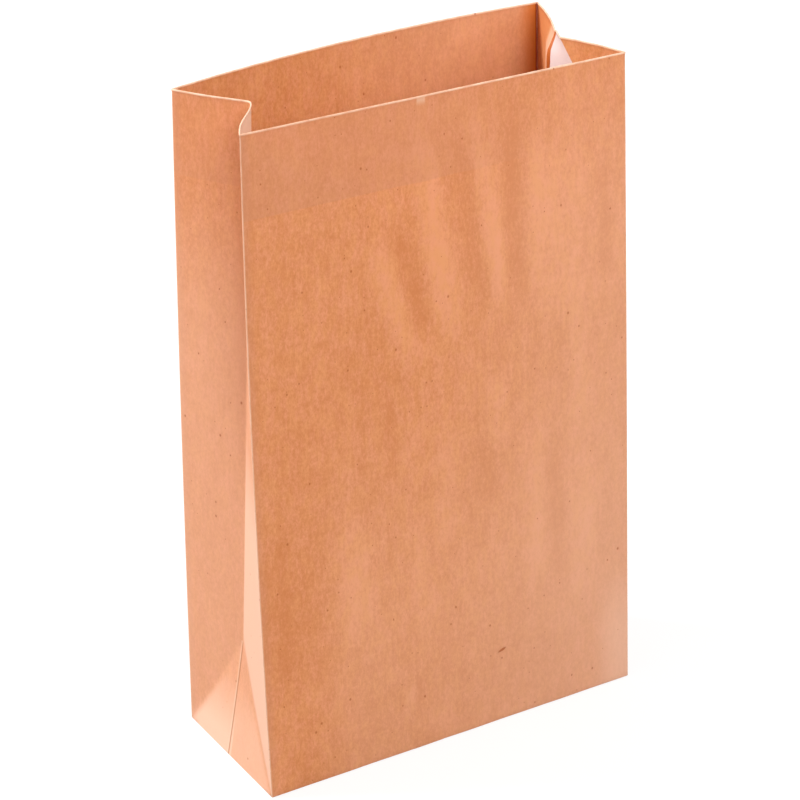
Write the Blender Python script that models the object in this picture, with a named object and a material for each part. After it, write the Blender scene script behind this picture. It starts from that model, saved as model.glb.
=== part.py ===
"""Kraft paper bag, open and empty: a block-bottom bag with side gussets, folded and glued from one sheet.

Metres, +Z up. The bag stands on its folded bottom, with the origin at the middle of it. The wide panel with
the glued lap faces -Y, and the gussets face -X and +X. The sheet is one piece, so the bag is one solid.
"""

import math
from typing import NamedTuple

import bmesh
import bpy
from mathutils import Vector

# Bag
WIDTH = 0.250
DEPTH = 0.100
HEIGHT = 0.400
PLY = 0.00015
FOLD_RADIUS = 0.0006

# Turned-in hem at the mouth
HEM_DEPTH = 0.049
RIM_RADIUS = 0.00042
RIM_NECK = 0.0016
RIM_STEPS = 4

# Glued lap down the front panel
LAP_EDGE_X = -0.010
LAP_WIDTH = 0.018
LAP_RAMP = 0.003
CUT_EDGE = 0.00003

# How far each corner fold leans from foot to rim, and bows between them
FRONT_LEFT_LEAN_X = -0.0018
FRONT_LEFT_LEAN_Y = 0.0104
FRONT_LEFT_BOW_Y = 0.0022
FRONT_RIGHT_LEAN_X = -0.0062
FRONT_RIGHT_LEAN_Y = 0.0145
BACK_LEFT_LEAN_X = 0.0007
BACK_LEFT_LEAN_Y = -0.0077
BACK_RIGHT_LEAN_X = 0.0035
BACK_RIGHT_LEAN_Y = 0.0168
LEFT_BOW_X = -0.0008
RIGHT_BOW_X = 0.0003

# Gussets: the centre crease stands this far in from the side, from the bottom triangle's tip to the rim
TRIANGLE_HEIGHT = 0.0745
TRIANGLE_TIP_PUSH = 0.0120
LEFT_RIM_PUSH = 0.0265
RIGHT_RIM_PUSH = 0.0240
CREASE_BOW = 0.0010
CREASE_HALF_WIDTH = 0.0006
LEFT_RIM_CREASE_HALF_WIDTH = 0.0024
TRIANGLE_VALLEY = 0.0004
TRIANGLE_FOOT_INSET = 0.004
GUSSET_SWELL = 0.0016

# Pinch at the mouth of the right gusset
RIGHT_FLARE = 0.0053
FLARE_HEIGHT = 0.013
PINCH_HEIGHT = 0.066
PINCH_RIM_X = -0.0027
PINCH_RIM_Y = -0.0094
PLEAT_X = 0.0020
PLEAT_Y = -0.0012

# Wide panels
BACK_SWELL = 0.0094
FLAT_FOLD_HEIGHT = 0.052
FLAT_FOLD_RUN = 0.050
FLAT_FOLD_FADE = 0.100
FLAT_FOLD_RISE = 0.0007

# Folded bottom
FLAP_OVERLAP = 0.016
FLAP_EASE = 0.0007
CUT_MARGIN = 0.010

# Soft buckles of the front panel: upper end x and z, lower end x and z, half width, rise
BUCKLES = (
    (-0.050, 0.345, -0.022, 0.240, 0.012, 0.0005),
    (-0.010, 0.385, 0.004, 0.235, 0.012, 0.0007),
    (0.030, 0.385, 0.048, 0.240, 0.012, 0.0007),
    (0.078, 0.380, 0.070, 0.260, 0.016, 0.0006),
    (-0.062, 0.170, -0.066, 0.060, 0.013, 0.0004),
    (-0.002, 0.215, 0.002, 0.060, 0.013, 0.0004),
    (0.060, 0.200, 0.063, 0.060, 0.012, 0.0004),
    (0.090, 0.240, 0.094, 0.060, 0.010, 0.0005),
)

# Mesh density
ROW_SPACING = 0.020
FRONT_COLUMNS = 34
BACK_COLUMNS = 18
GUSSET_COLUMNS = 5
PINCH_COLUMNS = 3

LEFT, RIGHT = -1, 1
FRONT, BACK = -1, 1
KRAFT = (0.735, 0.318, 0.153, 1.0)


class Station(NamedTuple):
    """One point round the bag: its place in plan, the way into the bag, and the depth of each skin there."""

    point: Vector
    inward: Vector
    outer: float
    inner: float


class Facet(NamedTuple):
    """A stretch of wall between two folds: its columns as shares of its length, and how far it swells."""

    columns: list
    swell: callable


def arch(share):
    """Return 0 at both ends of a span and 1 in its middle."""
    return 4 * share * (1 - share)


def ease(share):
    """Return a soft step from 0 to 1."""
    share = min(max(share, 0.0), 1.0)
    return share * share * (3 - 2 * share)


def corner(side, face, height):
    """Return the place in plan of one of the four corner folds at a height."""
    lean_x, lean_y = {
        (LEFT, FRONT): (FRONT_LEFT_LEAN_X, FRONT_LEFT_LEAN_Y),
        (RIGHT, FRONT): (FRONT_RIGHT_LEAN_X, FRONT_RIGHT_LEAN_Y),
        (LEFT, BACK): (BACK_LEFT_LEAN_X, BACK_LEFT_LEAN_Y),
        (RIGHT, BACK): (BACK_RIGHT_LEAN_X, BACK_RIGHT_LEAN_Y),
    }[side, face]
    bow_x = LEFT_BOW_X if side == LEFT else RIGHT_BOW_X
    bow_y = FRONT_LEFT_BOW_Y if (side, face) == (LEFT, FRONT) else 0.0
    share = height / HEIGHT
    foot = Vector((side * WIDTH / 2, face * DEPTH / 2))
    return foot + Vector((lean_x, lean_y)) * share + Vector((bow_x, bow_y)) * arch(share)


def gusset_middle(side, height, push):
    """Return the point that stands a push in from the middle of a side."""
    middle = (corner(side, FRONT, height) + corner(side, BACK, height)) / 2
    return middle - Vector((side * push, 0))


def crease(side, height):
    """Return the place in plan of a gusset's centre crease."""
    if height < TRIANGLE_HEIGHT:
        share = height / TRIANGLE_HEIGHT
        foot = gusset_middle(side, 0, 0)
        tip = gusset_middle(side, TRIANGLE_HEIGHT, TRIANGLE_TIP_PUSH)
        return foot.lerp(tip, share) - Vector((side * TRIANGLE_VALLEY * arch(share), 0))
    share = (height - TRIANGLE_HEIGHT) / (HEIGHT - TRIANGLE_HEIGHT)
    rim_push = LEFT_RIM_PUSH if side == LEFT else RIGHT_RIM_PUSH
    push = TRIANGLE_TIP_PUSH + (rim_push - TRIANGLE_TIP_PUSH) * share + CREASE_BOW * arch(share)
    if side == RIGHT:
        push -= RIGHT_FLARE * ease(1 - (HEIGHT - height) / FLARE_HEIGHT)
    return gusset_middle(side, height, push)


def triangle_edge(side, face, height):
    """Return the fold beside the centre crease: the bottom triangle's slanted edge, and above it the crease's."""
    if height < TRIANGLE_HEIGHT:
        tip = crease(side, TRIANGLE_HEIGHT) + Vector((side, face)) * CREASE_HALF_WIDTH
        foot = corner(side, face, 0) - Vector((0, face * TRIANGLE_FOOT_INSET))
        return foot.lerp(tip, height / TRIANGLE_HEIGHT)
    if (side, face) == (RIGHT, FRONT):
        pleat = ease(1 - (HEIGHT - height) / PINCH_HEIGHT)
        plain = Vector((CREASE_HALF_WIDTH, -CREASE_HALF_WIDTH))
        return crease(side, height) + plain.lerp(Vector((PLEAT_X, PLEAT_Y)), pleat)
    half = CREASE_HALF_WIDTH
    if side == LEFT:
        half += (LEFT_RIM_CREASE_HALF_WIDTH - half) * ease(1 - (HEIGHT - height) / HEM_DEPTH)
    return crease(side, height) + Vector((side * CREASE_HALF_WIDTH / 2, face * half))


def pinch_fold(height):
    """Return the slanted fold that runs from the right gusset's mouth down to its front corner."""
    front = corner(RIGHT, FRONT, height)
    drop = (HEIGHT - height) / PINCH_HEIGHT
    if drop < 1:
        mouth = crease(RIGHT, HEIGHT) + Vector((PINCH_RIM_X, PINCH_RIM_Y))
        return mouth.lerp(front, min(drop, 1 - 1 / FRONT_COLUMNS))
    return triangle_edge(RIGHT, FRONT, height).lerp(front, 1 - ease(drop - 1) / 2 - 1 / FRONT_COLUMNS)


def folds(height):
    """Return the plan points of all the folds at a height, anticlockwise from the front left corner."""
    return [
        corner(LEFT, FRONT, height),
        corner(RIGHT, FRONT, height),
        pinch_fold(height),
        triangle_edge(RIGHT, FRONT, height),
        crease(RIGHT, height),
        triangle_edge(RIGHT, BACK, height),
        corner(RIGHT, BACK, height),
        corner(LEFT, BACK, height),
        triangle_edge(LEFT, BACK, height),
        crease(LEFT, height),
        triangle_edge(LEFT, FRONT, height),
    ]


def front_swell(share, height):
    """Return how far the front panel stands out: the flat-folding crease near its foot, and its soft buckles."""
    x = (share - 0.5) * WIDTH
    from_side = (WIDTH / 2 - abs(x)) / FLAT_FOLD_RUN
    above = 1 - (height - FLAT_FOLD_HEIGHT) / FLAT_FOLD_FADE
    swell = FLAT_FOLD_RISE * max(min(height / FLAT_FOLD_HEIGHT, from_side, above, 1.0), 0.0)
    for top_x, top, low_x, low, half_width, rise in BUCKLES:
        along = (height - low) / (top - low)
        if 0 < along < 1:
            off_line = (x - (low_x + (top_x - low_x) * along)) / half_width
            swell += rise * math.exp(-off_line * off_line) * ease(arch(along) * 1.5)
    return swell * ease(4 * arch(share))


def back_swell(share, height):
    """Return how far the back panel bellies out, most at its rim."""
    return BACK_SWELL * arch(share) * (height / HEIGHT) ** 1.5


def gusset_swell(share, height):
    """Return how far a gusset's half curves outward, from nothing at the bottom triangle to most at the rim."""
    rise = max(height - TRIANGLE_HEIGHT, 0.0) / (HEIGHT - TRIANGLE_HEIGHT)
    return GUSSET_SWELL * arch(share) * rise


def flat(share, height):
    """Return no swell, for a stretch that stays flat."""
    return 0.0


def even_columns(count):
    """Return stations spread evenly between two folds, as (share, outer depth, inner depth)."""
    return [(step / count, 0.0, PLY) for step in range(1, count)]


def front_columns():
    """Return the front panel's stations, with the lap's two cut edges and the ramp where its outer ply climbs."""
    edge = LAP_EDGE_X / WIDTH + 0.5
    hidden_edge = edge - LAP_WIDTH / WIDTH
    ramp_foot = hidden_edge - LAP_RAMP / WIDTH
    cut = CUT_EDGE / WIDTH
    lap = [
        (ramp_foot, 0.0, PLY),
        (hidden_edge - cut, -PLY, 0.0),
        (hidden_edge, -PLY, PLY),
        ((hidden_edge + edge) / 2, -PLY, PLY),
        (edge, -PLY, PLY),
        (edge + cut, 0.0, PLY),
    ]
    clear = 0.3 / FRONT_COLUMNS
    plain = [
        column
        for column in even_columns(FRONT_COLUMNS)
        if column[0] < ramp_foot - clear or column[0] > edge + clear
    ]
    return sorted(plain + lap)


def facets():
    """Return the stretches of wall in the order of the folds."""
    gusset = Facet(even_columns(GUSSET_COLUMNS), gusset_swell)
    pinch = Facet(even_columns(PINCH_COLUMNS), gusset_swell)
    narrow = Facet([], flat)
    return [
        Facet(front_columns(), front_swell),
        pinch,
        Facet(even_columns(PINCH_COLUMNS), flat),
        narrow,
        narrow,
        gusset,
        Facet(even_columns(BACK_COLUMNS), back_swell),
        gusset,
        narrow,
        narrow,
        gusset,
    ]


def stations(height, walls):
    """Return the stations right round the bag at a height."""
    points = folds(height)
    ends = points[1:] + points[:1]
    inwards = [Vector((start.y - end.y, end.x - start.x)).normalized() for start, end in zip(points, ends)]
    found = []
    for index, (start, end, wall) in enumerate(zip(points, ends, walls)):
        before, inward = inwards[index - 1], inwards[index]
        found.append(Station(start, (before + inward) / (1 + before.dot(inward)), 0.0, PLY))
        for share, outer, inner in wall.columns:
            place = start.lerp(end, share) - inward * wall.swell(share, height)
            found.append(Station(place, inward, outer, inner))
    return found


def row_heights():
    """Return the heights of the rows of the wall: one at each feature, and even ones between."""
    features = [
        FOLD_RADIUS,
        FLAT_FOLD_HEIGHT,
        TRIANGLE_HEIGHT,
        HEIGHT - PINCH_HEIGHT,
        HEIGHT - HEM_DEPTH,
        HEIGHT - FLARE_HEIGHT,
        HEIGHT - FLARE_HEIGHT / 2,
        HEIGHT - RIM_RADIUS - RIM_NECK,
    ]
    count = round(HEIGHT / ROW_SPACING)
    even = [HEIGHT * step / count for step in range(1, count)]
    clear = ROW_SPACING / 3
    even = [height for height in even if all(abs(height - feature) > clear for feature in features)]
    return sorted(features + even)


def rim_rows():
    """Return the rows of the rounded fold at the rim, from the outside over its top to the hem's inner ply."""
    rows = []
    for step in range(RIM_STEPS + 1):
        turn = math.pi * step / RIM_STEPS
        share = (1 - math.cos(turn)) / 2
        depth = PLY - RIM_RADIUS * math.cos(turn)
        rows.append((HEIGHT - RIM_RADIUS * (1 - math.sin(turn)), share, depth - PLY * share))
    return rows


def wall_rows():
    """Return the wall's section from the underside up the outside, over the rim and down the inside.

    Each row is (height, share of the way from the outer skin to the inner, extra depth).
    """
    heights = row_heights()
    hem_edge = HEIGHT - HEM_DEPTH
    floor = 3 * PLY
    rows = [(0.0, 0.0, FOLD_RADIUS), (FOLD_RADIUS * 0.3, 0.0, FOLD_RADIUS * 0.3)]
    rows += [(height, 0.0, 0.0) for height in heights]
    rows += rim_rows()
    rows += [(height, 1.0, PLY) for height in reversed(heights) if height >= hem_edge]
    rows += [(height, 1.0, 0.0) for height in reversed(heights) if floor < height <= hem_edge]
    rows.append((floor, 1.0, 0.0))
    return rows


def bag_shell():
    """Return the mesh of the folded sheet: a loft of its section right round the bag, closed by the floor."""
    walls = facets()
    shell = bmesh.new()
    loops = []
    for height, share, extra in wall_rows():
        loop = []
        for station in stations(height, walls):
            depth = station.outer + (station.inner - station.outer) * share + extra
            place = station.point + station.inward * depth
            loop.append(shell.verts.new((place.x, place.y, height)))
        loops.append(loop)
    columns = range(len(loops[0]))
    top = max(range(len(loops)), key=lambda row: loops[row][0].co.z)
    for row in range(len(loops) - 1):
        low, high = (loops[row], loops[row + 1]) if row < top else (loops[row + 1], loops[row])
        for column in columns:
            after = (column + 1) % len(columns)
            near, far = (low[column], low[after], high[after]), (low[column], high[after], high[column])
            for corners in (near, far):
                shell.faces.new(corners if row < top else reversed(corners))
    shell.faces.new(reversed(loops[0]))
    shell.faces.new(loops[-1])
    mesh = bpy.data.meshes.new("paper_bag")
    shell.to_mesh(mesh)
    shell.free()
    return mesh


def add_object(name, mesh):
    """Add a mesh to the scene as an object."""
    added = bpy.data.objects.new(name, mesh)
    bpy.context.scene.collection.objects.link(added)
    return added


def prism(name, outlines, low, high):
    """Return a helper made of upright prisms on plan outlines, which the render leaves out."""
    shape = bmesh.new()
    for outline in outlines:
        bottom = [shape.verts.new((x, y, low)) for x, y in outline]
        base = shape.faces.new(bottom)
        raised = bmesh.ops.extrude_face_region(shape, geom=[base])["geom"]
        for vert in raised:
            if isinstance(vert, bmesh.types.BMVert):
                vert.co.z = high
    bmesh.ops.recalc_face_normals(shape, faces=shape.faces)
    mesh = bpy.data.meshes.new(name)
    shape.to_mesh(mesh)
    shape.free()
    helper = add_object(name, mesh)
    helper.hide_render = True
    helper.display_type = "WIRE"
    return helper


def cut(target, cutter):
    """Take a helper's shape out of an object."""
    boolean = target.modifiers.new(cutter.name, "BOOLEAN")
    boolean.operation = "DIFFERENCE"
    boolean.object = cutter


def fold_underside(bag):
    """Step the underside as the flaps lie: the front flap lowest, then the back flap, then the two end flaps."""
    side, front, out = WIDTH / 2, DEPTH / 2, CUT_MARGIN
    slant = side - FLAP_EASE
    lead_y = FLAP_OVERLAP / 2
    above_front_flap = [
        (-slant - out, -front - out),
        (-slant + front + lead_y, lead_y),
        (slant - front - lead_y, lead_y),
        (slant + out, -front - out),
        (slant + out, front + out),
        (-slant - out, front + out),
    ]
    tip, foot = side + FLAP_EASE - front, front + out
    ends = [[(way * (tip + foot), -foot), (way * tip, 0.0), (way * (tip + foot), foot)] for way in (LEFT, RIGHT)]
    cut(bag, prism("back_flap_step", [above_front_flap], -out, PLY))
    cut(bag, prism("end_flap_steps", ends, -out, 2 * PLY))


def fold_floor(bag):
    """Step the floor inside: the end flaps lie on the back flap, and the back flap on the front flap."""
    lead_x = WIDTH / 2 - DEPTH / 2 - FLAP_OVERLAP / 2
    lead_y = -FLAP_OVERLAP / 2
    side_y = DEPTH / 2 - FOLD_RADIUS - FLAP_EASE
    inner_x, inner_y = lead_x - FLAP_EASE, side_y - FLAP_EASE
    between_ends = [(-lead_x, -side_y), (lead_x, -side_y), (lead_x, side_y), (-lead_x, side_y)]
    bare_front = [(-inner_x, -inner_y), (inner_x, -inner_y), (inner_x, lead_y), (-inner_x, lead_y)]
    cut(bag, prism("floor_step", [between_ends], 2 * PLY, CUT_MARGIN))
    cut(bag, prism("front_floor_step", [bare_front], PLY, CUT_MARGIN))


def kraft_paper():
    """Return the unbleached kraft paper's material."""
    paper = bpy.data.materials.new("kraft_paper")
    paper.use_nodes = True
    shader = paper.node_tree.nodes["Principled BSDF"]
    shader.inputs["Base Color"].default_value = KRAFT
    shader.inputs["Roughness"].default_value = 0.75
    shader.inputs["Metallic"].default_value = 0.0
    return paper


def clear_scene():
    """Remove every object from the scene."""
    for thing in list(bpy.data.objects):
        bpy.data.objects.remove(thing, do_unlink=True)


def main():
    """Build the bag."""
    clear_scene()
    bag = add_object("paper_bag", bag_shell())
    bag.data.materials.append(kraft_paper())
    fold_underside(bag)
    fold_floor(bag)


main()
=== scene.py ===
"""Studio scene of an open, empty kraft paper bag with side gussets and a folded block bottom.

Metres, +Z up. The wide panel with the glued lap faces -Y, and the gussets face -X and +X.
"""

from __future__ import annotations

import logging
import math
from dataclasses import dataclass, field
from enum import Enum
from typing import Any, Callable

import bmesh
import bpy
from mathutils import Matrix, Vector, noise


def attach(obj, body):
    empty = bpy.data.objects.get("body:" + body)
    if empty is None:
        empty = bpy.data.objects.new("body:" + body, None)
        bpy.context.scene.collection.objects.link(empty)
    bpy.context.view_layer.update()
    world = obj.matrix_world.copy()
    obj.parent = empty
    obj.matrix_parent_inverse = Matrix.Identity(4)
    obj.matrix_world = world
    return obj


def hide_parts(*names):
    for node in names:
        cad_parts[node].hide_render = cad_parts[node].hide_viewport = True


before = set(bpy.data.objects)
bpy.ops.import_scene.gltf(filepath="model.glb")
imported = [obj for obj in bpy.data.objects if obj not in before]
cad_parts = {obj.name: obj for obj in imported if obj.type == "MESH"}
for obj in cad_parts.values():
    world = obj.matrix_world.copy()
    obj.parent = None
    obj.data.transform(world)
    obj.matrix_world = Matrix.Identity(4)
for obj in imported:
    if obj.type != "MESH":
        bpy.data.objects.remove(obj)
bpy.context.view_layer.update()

log = logging.getLogger("paper_bag")

Colour = tuple[float, float, float, float]
Place = tuple[float, float, float]
Span = tuple[float, float]

SHEET_MAP = "sheet"  # The map of the unfolded sheet: distance round it and height, in metres.
INSIDE_MARK = "inside"  # The attribute that is 1 on the sheet's inner face and 0 on its outer one.
MILLIMETRES = 1000  # In a metre.
FACING = 0.5  # A face looks along an axis where its normal reaches further along it than this.
LEVEL = 0.9  # A face of the underside is level where its normal points down by more than this.
TOUCH = 1e-6  # A point lies on a line where it is nearer than this, in metres.


class Side(Enum):
    """A gusseted side of the bag, with the sign of its X."""

    LEFT = -1
    RIGHT = 1


class Face(Enum):
    """A wide panel of the bag, with the sign of its Y."""

    FRONT = -1
    BACK = 1


def arch(share: float) -> float:
    """Return 0 at both ends of a span and 1 in its middle."""
    return 4 * share * (1 - share)


def ease(share: float) -> float:
    """Return a soft step from 0 to 1."""
    share = min(max(share, 0.0), 1.0)
    return share * share * (3 - 2 * share)


class Signal:
    """A shader socket that carries a number, with Python's operators adding the Math nodes."""

    def __init__(self, graph: Graph, socket: Any) -> None:
        """Hold the graph and the output socket."""
        self.graph = graph
        self.socket = socket

    def _maths(self, operation: str, *values: Any) -> Signal:
        """Return the result of a Math node on numbers or signals, given in its sockets' order."""
        node = self.graph.node("ShaderNodeMath", {"operation": operation}, dict(enumerate(values)))
        return Signal(self.graph, node.outputs[0])

    def __add__(self, other: Any) -> Signal:
        """Return self + other."""
        return self._maths("ADD", self, other)

    def __radd__(self, other: Any) -> Signal:
        """Return other + self."""
        return self._maths("ADD", other, self)

    def __sub__(self, other: Any) -> Signal:
        """Return self - other."""
        return self._maths("SUBTRACT", self, other)

    def __rsub__(self, other: Any) -> Signal:
        """Return other - self."""
        return self._maths("SUBTRACT", other, self)

    def __mul__(self, other: Any) -> Signal:
        """Return self * other."""
        return self._maths("MULTIPLY", self, other)

    def __rmul__(self, other: Any) -> Signal:
        """Return other * self."""
        return self._maths("MULTIPLY", other, self)

    def __truediv__(self, other: Any) -> Signal:
        """Return self / other."""
        return self._maths("DIVIDE", self, other)

    def __rtruediv__(self, other: Any) -> Signal:
        """Return other / self."""
        return self._maths("DIVIDE", other, self)

    def __pow__(self, other: Any) -> Signal:
        """Return self ** other."""
        return self._maths("POWER", self, other)

    def __abs__(self) -> Signal:
        """Return the signal without its sign."""
        return self._maths("ABSOLUTE", self)

    def __lt__(self, other: Any) -> Signal:
        """Return 1 where self < other, else 0."""
        return self._maths("LESS_THAN", self, other)

    def __gt__(self, other: Any) -> Signal:
        """Return 1 where self > other, else 0."""
        return self._maths("GREATER_THAN", self, other)

    def least(self, other: Any) -> Signal:
        """Return the smaller of self and other."""
        return self._maths("MINIMUM", self, other)

    def most(self, other: Any) -> Signal:
        """Return the larger of self and other."""
        return self._maths("MAXIMUM", self, other)

    def smooth(self, low: float, high: float) -> Signal:
        """Return a soft step, which falls where low is the larger.

        Args:
            low: Where the step is 0.
            high: Where it is 1.

        Returns:
            The step.
        """
        ends = sorted((low, high))
        node = self.graph.node(
            "ShaderNodeMapRange",
            {"interpolation_type": "SMOOTHSTEP"},
            {"Value": self, "From Min": ends[0], "From Max": ends[1]},
        )
        step = Signal(self.graph, node.outputs[0])
        return step if low < high else 1 - step

    def line(self, half_width: float, edge: float) -> Signal:
        """Return 1 near where the signal is 0, fading to 0 from half_width over a further edge."""
        return abs(self).smooth(half_width + edge, half_width)


class Graph:
    """The node tree of a material or of the world."""

    def __init__(self, owner: Any) -> None:
        """Start an empty tree on a material or a world.

        Args:
            owner: The material or world.
        """
        owner.use_nodes = True
        self.owner = owner
        self.tree = owner.node_tree
        self.tree.nodes.clear()

    def node(self, kind: str, settings: dict[str, Any] | None = None, sockets: dict[Any, Any] | None = None) -> Any:
        """Add a node.

        Args:
            kind: The node's type.
            settings: Its properties, set before its sockets.
            sockets: Values or links of its inputs, by name or number.

        Returns:
            The new node.
        """
        made = self.tree.nodes.new(kind)
        for key, value in (settings or {}).items():
            setattr(made, key, value)
        for key, value in (sockets or {}).items():
            if isinstance(value, Signal):
                value = value.socket
            if isinstance(value, bpy.types.NodeSocket):
                self.tree.links.new(value, made.inputs[key])
            else:
                made.inputs[key].default_value = value
        return made

    def mix(self, factor: Any, first: Any, second: Any, blend: str = "MIX") -> Any:
        """Mix two colours.

        Args:
            factor: How much of the second shows, from 0 to 1.
            first: The colour or link below.
            second: The colour or link on top.
            blend: The Mix node's blend type.

        Returns:
            The mixed colour's socket.
        """
        made = self.node(
            "ShaderNodeMix",
            {"data_type": "RGBA", "blend_type": blend, "clamp_factor": True},
            {0: factor, 6: first, 7: second},
        )
        return made.outputs[2]

    def noise(self, place: Any, scale: Span, detail: float, seed: float) -> Signal:
        """Add noise on the sheet.

        Args:
            place: The sheet's own map.
            scale: The scale per metre round the sheet and up it.
            detail: How many finer layers it has.
            seed: A shift that makes it differ from other noises.

        Returns:
            The noise, from about 0 to 1.
        """
        spread = self.node(
            "ShaderNodeMapping",
            {"vector_type": "POINT"},
            {"Vector": place, "Location": (seed, seed * 0.7, 0.0), "Scale": (scale[0], scale[1], 1.0)},
        )
        made = self.node(
            "ShaderNodeTexNoise",
            {"noise_dimensions": "2D"},
            {"Vector": spread.outputs[0], "Scale": 1.0, "Detail": detail, "Roughness": 0.55},
        )
        return Signal(self, made.outputs[0])


@dataclass(frozen=True)
class Spot:
    """The signals that say where on the sheet a point of its surface lies."""

    graph: Graph
    flat: Any
    around: Signal
    up: Signal
    inside: Signal

    @property
    def outside(self) -> Signal:
        """Return 1 on the outer face and 0 on the inner one."""
        return 1 - self.inside


@dataclass(frozen=True)
class Grain:
    """A noise of the paper: its scale per metre round the sheet and up it, its detail, seed and strength."""

    scale: Span
    detail: float
    seed: float
    strength: float = 1.0

    def raw(self, spot: Spot) -> Signal:
        """Return the noise, from about 0 to 1."""
        return spot.graph.noise(spot.flat, self.scale, self.detail, self.seed)

    def swing(self, spot: Spot) -> Signal:
        """Return the noise about 0, at its strength."""
        return (self.raw(spot) - 0.5) * self.strength


@dataclass(frozen=True)
class Patch:
    """A patch of painted light or shade, where the sheet looks paler or deeper than the rest.

    Run and rise are its soft edges, round the sheet from a fold and up it: each fades in from its first
    distance to its second. After and before are its hard edges, round the sheet from the fold. In metres.
    """

    strength: float
    run: Span | None = None
    rise: tuple[Span, ...] = ()
    after: float | None = None
    before: float | None = None

    def show(self, off: Signal, up: Signal) -> Signal:
        """Return how strongly the patch shows.

        Args:
            off: The distance round the sheet from the patch's fold.
            up: The height on the sheet.

        Returns:
            Its strength within its edges, and 0 past them.
        """
        edges = [up.smooth(*edge) for edge in self.rise]
        if self.run is not None:
            edges.append(off.smooth(*self.run))
        if self.after is not None:
            edges.append(off > self.after)
        if self.before is not None:
            edges.append(off < self.before)
        shown = self.strength
        for edge in edges:
            shown = edge * shown
        return shown


@dataclass(frozen=True)
class Stroke:
    """A thin line along a fold: half its width, how far it fades beyond that, and its strength."""

    half_width: float
    edge: float
    strength: float = 1.0

    def show(self, off: Signal) -> Signal:
        """Return how strongly the line shows at a distance from its middle."""
        return off.line(self.half_width, self.edge) * self.strength


@dataclass(frozen=True)
class FlatSheet:
    """The flat sheet: its sizes, and its folds' distances round it from the front left fold, in metres."""

    width: float = 0.250
    depth: float = 0.100
    height: float = 0.400
    hem_depth: float = 0.049
    triangle_height: float = 0.0745
    pinch_height: float = 0.066
    pleat_run: Span = (0.00085, 0.0023)
    base_start: float = 1.0

    @property
    def right_crease(self) -> float:
        """Return where the right gusset's centre crease runs."""
        return self.width + self.depth / 2

    @property
    def back_right_fold(self) -> float:
        """Return where the back right corner fold runs."""
        return self.width + self.depth

    @property
    def back_left_fold(self) -> float:
        """Return where the back left corner fold runs."""
        return 2 * self.width + self.depth

    @property
    def left_crease(self) -> float:
        """Return where the left gusset's centre crease runs."""
        return 2 * self.width + 1.5 * self.depth

    @property
    def girth(self) -> float:
        """Return the distance right round the bag."""
        return 2 * (self.width + self.depth)


@dataclass(frozen=True)
class Lean:
    """How far a corner fold leans from foot to rim, and bows between them, in metres."""

    x: float
    y: float
    bow_x: float
    bow_y: float = 0.0


@dataclass(frozen=True)
class Buckle:
    """A soft ridge of a wide panel, or a hollow where its rise is negative, from end to end, in metres."""

    top_x: float
    top: float
    low_x: float
    low: float
    half_width: float
    rise: float
    end_steepness: float = 1.5
    tint_reach: float = 1.7
    tint_fade: float = 0.3

    def height_at(self, x: float, z: float) -> float:
        """Return how far the buckle lifts the paper.

        Args:
            x: The place across the panel, from its middle.
            z: The height.

        Returns:
            The lift in metres.
        """
        along = (z - self.low) / (self.top - self.low)
        if not 0 < along < 1:
            return 0.0
        off_line = (x - (self.low_x + (self.top_x - self.low_x) * along)) / self.half_width
        return self.rise * math.exp(-off_line * off_line) * ease(arch(along) * self.end_steepness)

    def shade(self, around: Signal, up: Signal, middle: float) -> Signal:
        """Return the buckle's painted light and shade on the sheet: paler on a ridge, darker in a hollow.

        Args:
            around: The distance round the sheet.
            up: The height on it.
            middle: The distance round the sheet of the panel's middle.

        Returns:
            The buckle's rise in millimetres along its line, fading to 0 off it.
        """
        along = (up - self.low) / (self.top - self.low)
        off_line = (around - ((self.top_x - self.low_x) * along + (middle + self.low_x))) / self.half_width
        ends = along.smooth(0.0, self.tint_fade) * along.smooth(1.0, 1 - self.tint_fade)
        return abs(off_line).smooth(self.tint_reach, 0.0) * ends * (self.rise * MILLIMETRES)


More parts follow.
